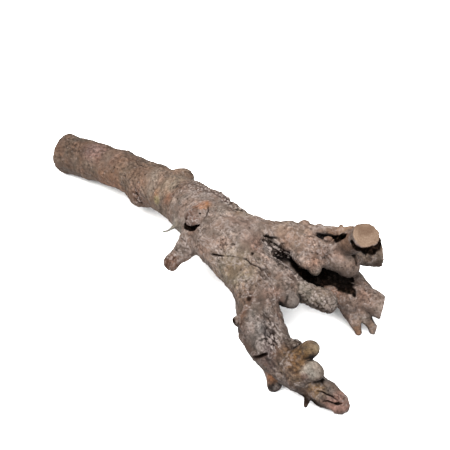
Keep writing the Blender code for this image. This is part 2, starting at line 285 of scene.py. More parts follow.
def random_of(cell, seed):
    """A number from 0 to 1 for each row of whole numbers, the same on every run."""
    mixed = np.full(len(cell), (seed * 0x9E3779B1 + 0x7F4A7C15) & 0xFFFFFFFF, np.uint32)
    for axis, factor in enumerate((0x8DA6B343, 0xD8163841, 0xCB1AB31F)):
        mixed ^= cell[:, axis].astype(np.int64).astype(np.uint32) * np.uint32(factor)
        mixed ^= mixed >> np.uint32(15)
        mixed *= np.uint32(0x2C1B3C6D)
        mixed ^= mixed >> np.uint32(12)
    mixed *= np.uint32(0x297A2D39)
    mixed ^= mixed >> np.uint32(15)
    return mixed.astype(np.float64) / 4294967296.0


EDGES = np.array([
    (1, 1, 0), (-1, 1, 0), (1, -1, 0), (-1, -1, 0), (1, 0, 1), (-1, 0, 1), (1, 0, -1), (-1, 0, -1),
    (0, 1, 1), (0, -1, 1), (0, 1, -1), (0, -1, -1),
], float)


def noise(points, seed=0):
    """Smooth noise of about -1 to 1, with one bump for each unit of length."""
    base = np.floor(points)
    part = points - base
    blend = part * part * part * (part * (part * 6 - 15) + 10)
    total = np.zeros(len(points))
    for corner in np.ndindex(2, 2, 2):
        step = np.array(corner, float)
        slope = EDGES[(random_of(base + step, seed) * 12).astype(int)]
        share = np.prod(np.where(step > 0, blend, 1 - blend), axis=1)
        total += share * np.einsum("ij,ij->i", slope, part - step)
    return total


def rough_noise(points, octaves, seed=0):
    """Noise with finer noise on it, each octave half as long and half as high."""
    total = np.zeros(len(points))
    for octave in range(octaves):
        total += noise(points * 2 ** octave, seed + octave) / 2 ** octave
    return total


def warp_of(points, octaves, seeds):
    """Three noises side by side, which shift places along X, Y and Z."""
    return np.stack([rough_noise(points, octaves, seed) for seed in seeds], axis=1)


def cells(points, seed=0):
    """For each point, its distance to the nearest cell middle, how much further the next one is,
    and a random number for its cell."""
    base = np.floor(points)
    first = np.full(len(points), 9.0)
    second = np.full(len(points), 9.0)
    number = np.zeros(len(points))
    for step in np.ndindex(3, 3, 3):
        cell = base + np.array(step, float) - 1
        middle = cell + np.stack([random_of(cell, seed + turn) for turn in (11, 12, 13)], axis=1)
        gap = np.linalg.norm(points - middle, axis=1)
        nearer = gap < first
        second = np.where(nearer, first, np.minimum(second, gap))
        number = np.where(nearer, random_of(cell, seed + 14), number)
        first = np.where(nearer, gap, first)
    return first, second - first, number


def ramp(values, low, high):
    """0 below low, 1 above high, and a smooth rise between them."""
    share = np.clip((values - low) / (high - low), 0, 1)
    return share * share * (3 - 2 * share)


# ---- the distance field
STEP = 0.6
GRID_LOW = (-172.0, -72.0, -3.0)
GRID_HIGH = (180.0, 60.0, 80.0)
FAR = 8.0  # what the field holds away from every limb
REACH = 6.0  # how far around a limb the field is worked out
BAND = 3.0  # how far from the surface the field is kept when the mesh is made
COARSE = 4  # grid steps between the places where the swellings are worked out
OUTER_SOFTNESS = 1.5  # how softly the outer limbs join the deep ones
JAG_LENGTH, JAG_SEED = 3.2, 300  # the noise that makes a hollow's walls uneven


def smooth_line(points, steps=4):
    """Points on a smooth curve through the given rows."""
    rows = np.array(points, float)
    ends = np.vstack([2 * rows[0] - rows[1], rows, 2 * rows[-1] - rows[-2]])
    out = []
    for index in range(1, len(ends) - 2):
        before, start, end, after = ends[index - 1:index + 3]
        for step in range(steps):
            share = step / steps
            out.append(0.5 * (2 * start + (end - before) * share
                              + (2 * before - 5 * start + 4 * end - after) * share ** 2
                              + (3 * start - before - 3 * end + after) * share ** 3))
    out.append(rows[-1])
    return np.array(out)


class Field:
    """Distances from a surface on a grid, in millimetres and negative inside."""

    def __init__(self):
        self.axes = [np.arange(low, high, STEP, dtype=np.float32)
                     for low, high in zip(GRID_LOW, GRID_HIGH)]
        self.values = np.full([len(axis) for axis in self.axes], FAR, np.float32)

    def window(self, low, high):
        """The slices of the grid between two corners, and the coordinates along each axis."""
        spans = tuple(slice(*np.searchsorted(axis, (bottom, top)))
                      for axis, bottom, top in zip(self.axes, low, high))
        return spans, np.ix_(*(axis[span] for axis, span in zip(self.axes, spans)))

    def limb(self, points):
        """The window around a limb, and the distances from it."""
        line = smooth_line(points)
        radii = line[:, 3:]
        low = (line[:, :3] - radii).min(axis=0) - REACH
        high = (line[:, :3] + radii).max(axis=0) + REACH
        spans, _ = self.window(low, high)
        near = np.full([span.stop - span.start for span in spans], FAR, np.float32)
        for start, end in zip(line, line[1:]):
            wide = max(start[3], end[3]) + REACH
            inner, (x, y, z) = self.window(np.maximum(np.minimum(start, end)[:3] - wide, low),
                                           np.minimum(np.maximum(start, end)[:3] + wide, high))
            local = tuple(slice(a.start - b.start, a.stop - b.start) for a, b in zip(inner, spans))
            step = (end - start).astype(np.float32)
            x, y, z = x - np.float32(start[0]), y - np.float32(start[1]), z - np.float32(start[2])
            share = np.clip((x * step[0] + y * step[1] + z * step[2]) / (step[:3] @ step[:3]), 0, 1)
            gap = np.sqrt((x - share * step[0]) ** 2 + (y - share * step[1]) ** 2
                          + (z - share * step[2]) ** 2)
            np.minimum(near[local], gap - np.float32(start[3]) - share * step[3], out=near[local])
        return spans, near

    def ball(self, middle, half_sizes, heading):
        """The window around a stretched and turned ball, and about the distances from it."""
        wide = max(half_sizes) + REACH
        spans, (x, y, z) = self.window(np.array(middle) - wide, np.array(middle) + wide)
        cosine, sine = math.cos(math.radians(heading)), math.sin(math.radians(heading))
        x, y, z = x - middle[0], y - middle[1], z - middle[2]
        ahead, aside = cosine * x + sine * y, cosine * y - sine * x
        a, b, c = half_sizes
        size = np.sqrt((ahead / a) ** 2 + (aside / b) ** 2 + (z / c) ** 2)
        slope = np.sqrt((ahead / a ** 2) ** 2 + (aside / b ** 2) ** 2 + (z / c ** 2) ** 2)
        return spans, (size * (size - 1) / np.maximum(slope, 1e-4)).astype(np.float32)

    def join(self, spans, near, softness):
        """Adds a shape, with the crease between it and the rest filled softly."""
        old = self.values[spans]
        share = np.clip(0.5 + 0.5 * (old - near) / softness, 0, 1)
        closest = np.minimum(old, near)
        fillet = softness * share * (1 - share) * np.clip(1.5 - closest / softness, 0, 1)
        self.values[spans] = closest + (old + (near - old) * share - closest) * (fillet > 0) - fillet

    def cut(self, spans, near, softness):
        """Takes a shape away, with a soft rim."""
        old = self.values[spans]
        share = np.clip(0.5 - 0.5 * (old + near) / softness, 0, 1)
        self.values[spans] = old + (-near - old) * share + softness * share * (1 - share)

    def add_limbs(self, limbs):
        for softness, points in limbs.values():
            self.join(*self.limb(points), softness)

    def add_knots(self, knots):
        for softness, *ball in knots.values():
            self.join(*self.ball(*ball), softness)

    def cut_hollows(self, hollows):
        """Cuts each hollow, with its walls made uneven by noise."""
        for softness, jag, _, points in hollows.values():
            spans, near = self.limb(points)
            close = near < REACH - 2
            grid = np.meshgrid(*(axis[span] for axis, span in zip(self.axes, spans)), indexing="ij")
            places = np.stack([axis[close] for axis in grid], axis=1).astype(float)
            near[close] += jag * rough_noise(places / JAG_LENGTH, 2, JAG_SEED)
            self.cut(spans, near, softness)

    def swell(self):
        """Moves the surface out and in by the long swellings of the bark."""
        counts = [len(axis) // COARSE + 2 for axis in self.axes]
        grid = np.stack(np.meshgrid(*(low + STEP * COARSE * np.arange(count)
                                      for low, count in zip(GRID_LOW, counts)), indexing="ij"), axis=-1)
        picks = [np.minimum(np.arange(count) * COARSE, len(axis) - 1)
                 for count, axis in zip(counts, self.axes)]
        near = np.abs(self.values[np.ix_(*picks)]) < FAR - 0.5
        coarse = np.zeros(counts)
        coarse[near] = [
            sum(height * blender_noise.noise(Vector((x / length + turn, y / length, z / length)))
                for turn, (length, height) in enumerate(SWELLINGS))
            for x, y, z in grid[near].tolist()
        ]
        swelling = coarse.astype(np.float32)
        for axis, values in enumerate(self.axes):
            index = np.arange(len(values))
            base, share = index // COARSE, ((index % COARSE) / COARSE).astype(np.float32)
            shape = [1, 1, 1]
            shape[axis] = len(values)
            share = share.reshape(shape)
            swelling = (np.take(swelling, base, axis) * (1 - share)
                        + np.take(swelling, base + 1, axis) * share)
        self.values -= swelling

    def saw(self, point, facing):
        """Takes away a block beyond a flat face."""
        way = np.array(facing) / np.linalg.norm(facing)
        side = np.cross(way, (0, 0, 1))
        side /= np.linalg.norm(side)
        other = np.cross(way, side)
        middle = np.array(point) + way * SAW_HALF_SIZE
        spans, (x, y, z) = self.window(middle - SAW_REACH, middle + SAW_REACH)
        x, y, z = x - middle[0], y - middle[1], z - middle[2]
        block = np.maximum.reduce([np.abs(x * a + y * b + z * c) for a, b, c in (way, side, other)])
        self.values[spans] = np.maximum(self.values[spans], -(block - SAW_HALF_SIZE))

    def at(self, places):
        """The field at any points, read between the grid's values."""
        spot = (places - np.array([axis[0] for axis in self.axes])) / STEP
        base = np.clip(np.floor(spot).astype(int), 0, np.array(self.values.shape) - 2)
        share = np.clip(spot - base, 0, 1)
        total = np.zeros(len(places))
        for corner in np.ndindex(2, 2, 2):
            weight = np.prod(np.where(np.array(corner) > 0, share, 1 - share), axis=1)
            i, j, k = (base + np.array(corner)).T
            total += weight * self.values[i, j, k]
        return total

    def surface(self):
        """The points and four-sided faces of the largest surface where the field is zero."""
        grid = openvdb.FloatGrid(BAND)
        grid.copyFromArray(np.clip(self.values, -BAND, BAND))
        points, faces = grid.convertToQuads(0.0)
        label = np.arange(len(points))
        edges = np.concatenate([faces[:, [0, 1]], faces[:, [1, 2]], faces[:, [2, 3]]]).astype(int)
        while True:
            lowest = np.minimum(label[edges[:, 0]], label[edges[:, 1]])
            fresh = label.copy()
            np.minimum.at(fresh, edges[:, 0], lowest)
            np.minimum.at(fresh, edges[:, 1], lowest)
            fresh = fresh[fresh]
            if np.array_equal(fresh, label):
                break
            label = fresh
        names, sizes = np.unique(label, return_counts=True)
        kept = label == names[sizes.argmax()]
        number = np.cumsum(kept) - 1
        faces = number[faces[kept[faces[:, 0]]]]
        return points[kept] * STEP + np.array([axis[0] for axis in self.axes]), faces


def root_field():
    """The whole root, without its bark's fine relief."""
    field = Field()
    field.add_limbs(DEEP_LIMBS)
    field.add_knots(DEEP_KNOTS)
    field.swell()
    field.cut_hollows(DEEP_HOLLOWS)
    outer = Field()
    outer.add_limbs(OUTER_LIMBS)
    outer.add_knots(OUTER_KNOTS)
    outer.swell()
    field.join((slice(None),) * 3, outer.values, OUTER_SOFTNESS)
    field.cut_hollows(HOLLOWS)
    field.add_knots(LATE_KNOTS)
    for point, facing, _ in SAW_CUTS.values():
        field.saw(point, facing)
    field.values = np.maximum(field.values, -field.axes[2][None, None, :])
    return field


def mesh_of(name, points, faces):
    """A mesh from arrays of points in millimetres and of four-sided faces."""
    mesh = bpy.data.meshes.new(name)
    mesh.vertices.add(len(points))
    mesh.vertices.foreach_set("co", ((points - MIDDLE) * MM).astype(np.float32).ravel())
    mesh.loops.add(faces.size)
    mesh.loops.foreach_set("vertex_index", faces.astype(np.int32).ravel())
    mesh.polygons.add(len(faces))
    mesh.polygons.foreach_set("loop_start", np.arange(0, faces.size, 4, dtype=np.int32))
    mesh.update(calc_edges=True)
    mesh.validate()
    return mesh


def rows_of(collection, name):
    """One property of a mesh's vertices, as rows of three numbers."""
    values = np.empty(len(collection) * 3, np.float32)
    collection.foreach_get(name, values)
    return values.reshape(-1, 3).astype(float)


def move_vertices(mesh, moved):
    """Moves the vertices, in metres, and keeps them in the CAD's box."""
    inside = np.clip(moved, CAD_BOX[0], CAD_BOX[1])
    mesh.vertices.foreach_set("co", inside.astype(np.float32).ravel())


# ---- places along the limbs
LIMB_LINES = {name: smooth_line(points)
              for name, (_, points) in {**OUTER_LIMBS, **DEEP_LIMBS}.items()}
UNSEEN = 99.0  # the distance that stands for none
CRACK_REACH = 9.0


def close_to(places, line, reach):
    """The numbers of the places within reach of the box around a line."""
    low = line[:, :3].min(axis=0) - reach
    high = line[:, :3].max(axis=0) + reach
    return np.flatnonzero(np.all((places > low) & (places < high), axis=1))


def from_segment(spots, start, end):
    """How far along a segment each spot lies, from 0 to 1, and the way from the segment to it."""
    step = end[:3] - start[:3]
    share = np.clip((spots - start[:3]) @ step / (step @ step), 0, 1)
    return share, spots - start[:3] - share[:, None] * step


class LimbPlaces:
    """Where each vertex lies along and around the limbs near it."""

    def __init__(self, places):
        self.count = len(places)
        self.limbs = {}
        for name, line in LIMB_LINES.items():
            self.add(name, line, places)

    def add(self, name, line, places):
        """Finds each near place's length along the limb, its two offsets across it and the radius."""
        near = close_to(places, line, line[:, 3].max() * 1.5 + 3)
        spots = places[near]
        steps = np.diff(line[:, :3], axis=0)
        lengths = np.linalg.norm(steps, axis=1)
        along_start = np.concatenate([[0], np.cumsum(lengths)])
        side = np.cross(steps[0], (0.3, 0.2, 1.0))
        best = np.full(len(spots), 1e9)
        result = np.zeros((len(spots), 4))
        for index, step in enumerate(steps):
            way = step / lengths[index]
            side = side - way * (side @ way)
            side = side / np.linalg.norm(side)
            other = np.cross(way, side)
            offset = spots - line[index, :3]
            share = np.clip(offset @ way / lengths[index], 0, 1)
            away = offset - share[:, None] * step
            gap = np.linalg.norm(away, axis=1)
            closer = gap < best
            best = np.where(closer, gap, best)
            radius = line[index, 3] + share * (line[index + 1, 3] - line[index, 3])
            along = along_start[index] + share * lengths[index]
            found = np.stack([along, away @ side, away @ other, radius], axis=1)
            result[closer] = found[closer]
        excess = best - result[:, 3]
        weight = np.clip(1 - excess / (0.3 * result[:, 3] + 1.5), 0, 1) ** 2
        kept = weight > 0
        self.limbs[name] = (near[kept], weight[kept], result[kept])

    def blend(self, function):
        """The function's value on each limb, mixed where limbs meet. It is given the length along
        the limb, the two offsets across it, the radius and the limb's number."""
        total = np.zeros(self.count)
        weights = np.full(self.count, 1e-6)
        for number, (index, weight, values) in enumerate(self.limbs.values()):
            if len(index):
                total[index] += weight * function(*values.T, number)
                weights[index] += weight
        return total / weights

    def streaks(self, length, width, shift, seed):
        """Noise in bumps of this length along the limbs and this width across them."""
        return self.blend(lambda s, u, v, r, k: noise(
            np.stack([s / length, u / width, v / width], 1) + shift * k, seed + k))

    def share(self, name, start, end):
        """How much each vertex is on a limb, from start to end along it in millimetres."""
        values = np.zeros(self.count)
        index, weight, found = self.limbs[name]
        values[index] = weight * ramp(found[:, 0], start, end)
        return values


def line_gap(places, normals, line):
    """Each place's distance along the bark from a line of points, and how far along the line it is."""
    line = np.array(line, float)
    best = np.full(len(places), UNSEEN)
    along = np.zeros(len(places))
    near = close_to(places, line, CRACK_REACH)
    spots, facing, found, where = places[near], normals[near], best[near], along[near]
    for index, (start, end) in enumerate(zip(line, line[1:])):
        share, away = from_segment(spots, start, end)
        flat = away - facing * np.einsum("ij,ij->i", away, facing)[:, None]
        full = np.linalg.norm(away, axis=1)
        gap = np.where(full < CRACK_REACH, np.linalg.norm(flat, axis=1), UNSEEN)
        closer = gap < found
        found = np.where(closer, gap, found)
        where = np.where(closer, (index + share) / (len(line) - 1), where)
    best[near], along[near] = found, where
    return best, along


# ---- the bark's relief
# Each crack is its half width, its depth and a line of points on the bark.
CRACKS = [
    (0.8, 1.4, [(46, -40, 48), (50, -40, 49.5), (54, -39, 51), (57.5, -37.5, 52)]),
    (0.5, 0.7, [(57.5, -37.5, 52), (63, -35, 53.5), (68, -32.5, 54)]),
    (0.9, 1.6, [(68, -32.5, 54), (72, -30.5, 53.5), (74, -30.5, 52.5), (78.5, -28, 50), (84, -24.5, 49.5)]),
    (1.0, 1.8, [(64.6, -10.8, 58.2), (65.9, -8.4, 57.7), (69.2, -6.1, 57.4), (74, -3.6, 58.1)]),
    (0.8, 1.4, [(66, -12, 57), (69.5, -9, 56), (73, -7, 54.5), (77, -5.5, 51.5)]),
    (0.5, 0.8, [(69, -12, 55.5), (73, -10.5, 52.5), (77, -9, 50), (81.5, -8.5, 47)]),
    (0.5, 0.8, [(78, -11, 49), (83, -10.5, 47), (89, -10, 46), (95, -9, 45)]),
    (0.9, 1.8, [(-65.5, -18.5, 25), (-66.5, -15.8, 27), (-62.5, -15.2, 26), (-59.5, -14.8, 23),
        (-57.5, -14, 20), (-61, -16.8, 21), (-65.5, -18.5, 24)]),
    (0.8, 1.0, [(28, -29, 57), (26.5, -24.5, 59), (24, -20.5, 60.5), (19.5, -17, 61.5)]),
    (0.7, 0.8, [(14, -34.5, 52), (10, -31, 55), (7.5, -26.5, 58), (7.5, -21.5, 60.5)]),
    (1.3, 2.4, [(113, -66.5, 20), (118.5, -65, 24.5), (122.5, -62, 29.5)]),
    (0.5, 0.7, [(102, -46, 43), (107, -47.5, 42), (111, -49.5, 41), (118, -55, 38.5), (122, -60.5, 34)]),
    (0.7, 1.5, [(156.5, -55, 17.5), (159, -52.5, 16.8), (162.3, -51.6, 16), (165.9, -50.2, 16),
        (170.1, -49.6, 15.2)]),
    (0.6, 1.3, [(162, -55.5, 12.5), (165, -53.5, 13.5), (168.5, -52, 14), (172, -49.9, 14.4)]),
    (0.4, 0.5, [(149, -57, 31.5), (151, -55, 32.5), (153.5, -52.5, 32)]),
    (0.6, 0.8, [(-79.6, -3, 43), (-76.5, -4, 42.5), (-73, -3, 42.5), (-69, -4, 42)]),
    (0.6, 0.8, [(-96, -13.6, 35.5), (-94.2, -13.6, 35.2), (-92, -13.8, 34.8)]),
    (0.6, 0.8, [(-81, -14.3, 34.6), (-79.6, -14.3, 34.4), (-78, -14.5, 34)]),
    (1.1, 0.8, [(103, -25.5, 41.5), (105, -28.2, 39.5), (105.4, -30, 35.5)]),
    (0.5, 0.4, [(93, -21.5, 43.5), (100.5, -21.5, 41.5), (107, -21, 38.5)]),
    (0.6, 0.35, [(4, -25, 59), (5, -18, 61.5), (11, -12.5, 62), (19, -12, 61.5), (25, -16, 60)]),
    (0.6, 0.7, [(12, -37.5, 41), (17, -38.5, 42), (22, -38.5, 41)]),
    (0.5, 0.7, [(14, -45, 37), (19, -46, 38), (23, -46, 36.5)]),
]
# Each shadowed place is a line of (x, y, z, radius) within which the bark is painted black as shadow.
SHADOWS = [
    [(122, 19.5, 67, 2.2), (111.5, 34.5, 52, 2.4)],
    [(127, 19, 67, 2.6), (114.5, 36.5, 50, 2.8)],
    [(129, 21.5, 67, 2.6), (116, 41, 48, 2.8)],
    [(129, 27.5, 66, 2.2), (116, 46, 48, 2.2)],
    [(127.5, 32.5, 66, 1.6), (114.5, 51, 48, 1.6)],
    [(115.5, 14.5, 33.5, 4.4), (119.5, 15.8, 32.3, 3.4), (122.5, 16, 30.8, 2.0), (125.4, 15, 28.8, 0.5)],
    [(107, 4, 42, 2.8), (94, 20, 24, 2.8)],
]
# Each shade-free place is x, y, z and a radius, and no painted black shade falls there.
SHADE_FREE = [(96.5, 18.2, 58.6, 3.6)]
# Each smooth place is x, y, z and a radius, and the bark has little relief there.
SMOOTH = [
    (141.5, -48, 34, 10), (106, -23, 35, 6), (100, 2, 46, 6), (152, -55, 30, 6), (110, 20, 46, 8),
    (2, -36, 40, 8), (165, -50, 12, 7),
]
# Each dark spot is x, y, z, a radius and how dark it is.
SPOTS = [
    (45.6, -36.2, 54.2, 1.2, 0.8), (70.1, -25.4, 54.4, 1.2, 0.9), (22.2, -27.5, 61.4, 0.9, 0.9),
    (91.4, -48.5, 43.8, 1.8, 0.7), (91.9, -61, 32.4, 2.0, 0.9), (-61.1, -9.1, 42.3, 0.9, 0.8),
    (-128.3, 1.1, 33.8, 1.0, 0.8), (12.5, -31, 55, 1.6, 0.8), (15.5, -33, 56.5, 1.3, 0.8),
    # the first two spots on this line, on the side block under the high stub, are painted shadow
    (118.5, 39, 50.2, 2.5, 0.6), (114, 40.5, 51, 2.2, 0.6), (83, -30, 48, 1.0, 0.6),
    (131, -57, 31, 1.0, 0.6), (152, -60, 10, 3.5, 0.6), (158, -56.5, 9, 3, 0.6), (162, -54.5, 7, 3, 0.5),
    (20, -59, 34.5, 1.5, 0.8), (23, -59.5, 31, 1.3, 0.8),
]
# Each flaky place is x, y, z, a radius and a strength.
FLAKY = [
    (-8.6, -4, 57, 9, 0.5), (1, -4.1, 58.7, 9, 0.8), (14.3, -0.1, 58.5, 9, 0.9), (24, -2, 59, 8, 0.9),
    (32.5, -3.9, 60.1, 7, 0.8), (68.7, -8, 57, 5, 0.8), (75.2, -8.1, 51.1, 7, 0.75), (81, -7, 46.5, 7, 1.0),
    (88, -9, 45, 6, 0.8), (98.1, -12.9, 45.9, 5, 0.6), (107, -47, 42, 4, 0.4), (115, -52.5, 39.5, 5, 0.5),
    (120.5, -58.5, 36, 6, 0.8), (105.7, 10.7, 52.2, 6, 0.3), (96, 8, 57, 6, 0.3),
    (112.8, 17.5, 49.3, 5, 0.25), (18, -33, 57, 7, 0.25), (19, -42, 38, 6, 0.5), (19, -51, 34, 5, 0.6),
    (81.8, -27.6, 47.8, 7, 0.5), (52, -40, 49, 6, 0.5), (130, -47, 32, 5, 0.6), (-62, -16, 24, 8, 0.5),
    (151.5, -56, 30, 5, 0.4),
]
FIBRE_WAY = np.array([0.9, -0.1, -0.42])
SHADOW_BLACK = 0.95
# How far out from the bark nearby bark is looked for, and how much each distance counts.
SHADE_STEPS = ((1.2, 0.2), (2.5, 0.25), (4.5, 0.3), (7.0, 0.25))
FULL_GIRTH = 14  # the radius from which a limb has its relief in full
CROWN_START = (-30, 5)  # between these along X the smooth stem turns into the knotted crown
FLAKES_START = (50, 60)  # and here its flakes turn long and dark
FACE_DEPTH = 0.6  # how near its plane a sawn face lies
GROUND_FADE = (0.4, 3.0)  # the heights between which relief fades towards the ground


def smooth_spot(places, middle, radius, softness):
    """1 within a ball and 0 outside it, with a soft rim."""
    gap = np.linalg.norm(places - np.array(middle, float), axis=1)
    return 1 - ramp(gap, radius * (1 - softness), radius * (1 + softness))


def strongest(places, warp, spots, softness):
    """The strength of the strongest spot at each place, with the spots' rims made uneven."""
    total = np.zeros(len(places))
    for *middle, radius, strength in spots:
        moved = places + 0.4 * radius * warp
        total = np.maximum(total, strength * smooth_spot(moved, middle, radius, softness))
    return total


def black_shade_of(places):
    """How black each place is painted, as shade, by the hollows and shadows that it lies in."""
    black_shade = np.zeros(len(places))
    hollows = [hollow[2:] for hollow in (*DEEP_HOLLOWS.values(), *HOLLOWS.values())]
    for black, points in hollows + [(SHADOW_BLACK, points) for points in SHADOWS]:
        line = smooth_line(points)
        near = close_to(places, line, line[:, 3].max() + 4)
        spots = places[near]
        best = np.full(len(near), UNSEEN)
        fade = np.ones(len(near))
        for start, end in zip(line, line[1:]):
            share, away = from_segment(spots, start, end)
            radius = start[3] + share * (end[3] - start[3])
            gap = np.linalg.norm(away, axis=1) - radius
            fade = np.where(gap < best, 0.3 + 0.22 * radius, fade)
            best = np.minimum(best, gap)
        black_shade[near] = np.maximum(black_shade[near], black * (1 - ramp(best / fade, 0.2, 1.4)))
    for *middle, radius in SHADE_FREE:
        black_shade *= 1 - smooth_spot(places, middle, radius, 0.3)
    return black_shade


def shade_of(field, places, normals):
    """How much nearby bark stands over each place, from 0 in the open to 1 in a deep hollow."""
    total = np.zeros(len(places))
    for distance, weight in SHADE_STEPS:
        total += weight * np.clip(1 - field.at(places + normals * distance) / distance, 0, 1.2)
    return total


def sawn_faces(places, normals):
    """How far each place is on a sawn face, and its distance from the middle of that face."""
    sawn = np.zeros(len(places))
    rings = np.zeros(len(places))
    for point, facing, radius in SAW_CUTS.values():
        way = np.array(facing, float) / np.linalg.norm(facing)
        offset = places - np.array(point)
        level = offset @ way
        reach = np.linalg.norm(offset - level[:, None] * way, axis=1)
        face = ramp(normals @ way, 0.8, 0.93) * (np.abs(level) < FACE_DEPTH)
        face = face * (1 - ramp(reach / radius, 0.88, 1.0))
        sawn = np.maximum(sawn, face)
        rings = np.where(face > 0, reach, rings)
    return sawn, rings


def shape_bark(mesh, field):
    """Moves the vertices to make the bark's relief, and gives the masks that the material reads."""
    places = rows_of(mesh.vertices, "co") / MM + MIDDLE
    normals = rows_of(mesh.vertex_normals, "vector")
    limbs = LimbPlaces(places)
    x = places[:, 0]
    # Painted shade: the material darkens the bark where nearby bark stands over it.
    shade = shade_of(field, places, normals)
    sawn, rings = sawn_faces(places, normals)

    girth = np.clip(limbs.blend(lambda s, u, v, r, k: r) / FULL_GIRTH, 0.3, 1)
    crown = ramp(x, *CROWN_START)
    scaly = limbs.share("scaly_finger", 24, 36)
    tip = limbs.share("lower_root", 112, 124)
    smooth = strongest(places, 0, [(*spot, 1) for spot in SMOOTH], 0.4)
    warp = warp_of(places / 9, 2, (70, 80, 90))

    lumps = 0.5 * noise(places / 11, 1) + 0.5 * noise(places / 5.5, 2)
    fine = rough_noise(places / 2.4 + 0.4 * warp, 2, 5)
    ridges = limbs.streaks(15, 3.0, 0.35, 3)
    wrinkles = limbs.streaks(1.6, 6, 0.6, 30)

    peel = noise(places / 7 + 0.3 * warp, 50) + 0.35 * noise(places / 2.6, 51)
    peel_up = ramp(peel, 0.08, 0.14) + ramp(peel, 0.38, 0.44)
    peel_rim = np.exp(-((peel - 0.15) / 0.06) ** 2) + np.exp(-((peel - 0.46) / 0.06) ** 2)

    pore_gap, _, pore_number = cells(places / 4.4 + 0.15 * warp, 60)
    pore = (1 - ramp(pore_gap, 0.1, 0.2)) * (pore_number > 0.55)
    bead_gap, _, bead_number = cells(places / 3.0 + 0.15 * warp, 64)
    bead = (1 - ramp(bead_gap, 0.12, 0.28)) * (bead_number > 0.45)

    jitter = 0.25 * noise(places / 1.5, 68)[:, None]
    _, scale_edge, scale_number = cells(places / 2.6 + 0.45 * warp + jitter, 66)
    scales = ramp(scale_edge, 0.02, 0.3) * (0.3 + 0.7 * scale_number)

    flaky = strongest(places, warp, FLAKY, 0.5)
    stretch = 0.35 + 0.4 * ramp(x, *FLAKES_START)
    flat = places - (stretch * (places @ FIBRE_WAY))[:, None] * FIBRE_WAY
    jitter = 0.2 * noise(places / 1.4, 69)[:, None]
    _, plate_edge, plate_number = cells(flat / 1.8 + 0.5 * warp + jitter, 67)
    plate = ramp(plate_edge, 0.04, 0.3)
    chip = ramp(flaky, 0.2, 0.5) * plate * ramp(plate_number, 0.5, 0.62)

    height = 0.5 * lumps + 0.28 * fine
    height += ridges * (0.3 + 0.5 * crown)
    height += wrinkles * (0.08 + 0.22 * crown)
    height += 0.3 * peel_up * (0.25 + 0.75 * crown)
    height -= 0.4 * pore
    height += 0.25 * bead * (0.6 + 0.4 * crown)
    height *= girth
    height += 0.8 * scaly * (scales - 0.4)
    height += tip * 0.6 * limbs.streaks(14, 2.6, 0, 90)
    height += flaky * (1.5 * plate * plate_number - 0.7)
    height *= 1 - 0.55 * smooth

    flaky_dark = flaky * (0.7 + 0.3 * ramp(x, *FLAKES_START))
    # Darker pits, gaps between flakes and between scales, spots and cracks: partly the bark's own dark marks,
    # partly painted shade in these sunken places.
    dark_marks_and_shade = np.maximum.reduce([
        0.6 * pore * (1 - 0.5 * scaly),
        flaky_dark * (1 - plate) * 0.9,
        flaky_dark * (plate_number < 0.18) * 0.7,
        0.6 * scaly * (1 - ramp(scale_edge + 0.1 * warp[:, 0], 0.0, 0.16)),
        strongest(places, warp, SPOTS, 0.5),
    ])
    # Each crack is darkened more the deeper it is: painted shade in it, over a little dark colour of its own.
    for half_width, depth, line in CRACKS:
        gap, along = line_gap(places + 0.7 * warp, normals, line)
        taper = np.sqrt(np.clip(4 * along * (1 - along), 0.05, 1))
        cut = 1 - ramp(gap, half_width * 0.3, half_width * 1.15)
        height -= depth * cut * taper
        dark_marks_and_shade = np.maximum(dark_marks_and_shade, min(0.9, 0.15 + 0.55 * depth) * cut * taper)

    height *= 1 - sawn
    height += sawn * 0.1 * noise(places / 2.2, 95)
    ground = 1 - ramp(places[:, 2], *GROUND_FADE)
    height = np.where(ground > 0, height * (1 - ground), height)
    move_vertices(mesh, (places + normals * height[:, None] - MIDDLE) * MM)
    mesh.update()

    bark_share = 1 - sawn
    # Painted shade: black in the hollows and the shadowed places, broken by pale flakes.
    black_shade = black_shade_of(places + 0.5 * warp)
    # Painted shade: the bark is darker where it faces down, and more so where x passes from 30 to 90.
    underside_shade = (1 - ramp(normals[:, 2], -0.35, 0.45)) * (0.35 + 0.65 * ramp(x, 30, 90))
    pale = (0.6 * peel_rim * (0.2 + 0.8 * crown) + 0.4 * bead + 0.5 * scaly * scales
            + 1.1 * flaky * plate * ramp(plate_number, 0.25, 0.5))
    return {
        "dark_marks_and_shade": np.clip(dark_marks_and_shade * bark_share, 0, 1),
        "shade": np.clip(shade * (1 - 0.6 * chip), 0, 1),
        "black_shade": black_shade * bark_share * (1 - 0.9 * chip),
        "underside_shade": underside_shade * bark_share,
        "pale": np.clip(pale * bark_share * (1 - 0.8 * smooth), 0, 1),
        "crown": crown,
        "sawn": sawn,
        "rings": rings,
        # the relief's height, which tint_of paints as light and shade
        "relief": np.clip(height / 0.9, -1, 1),
    }


# ---- the bark's colours
STEM_COLOUR = (109, 89, 75)
CROWN_COLOUR = (124, 107, 97)
LOWER_DARKENING = 0.36
TINT_RANGE = (0.001, 0.9)
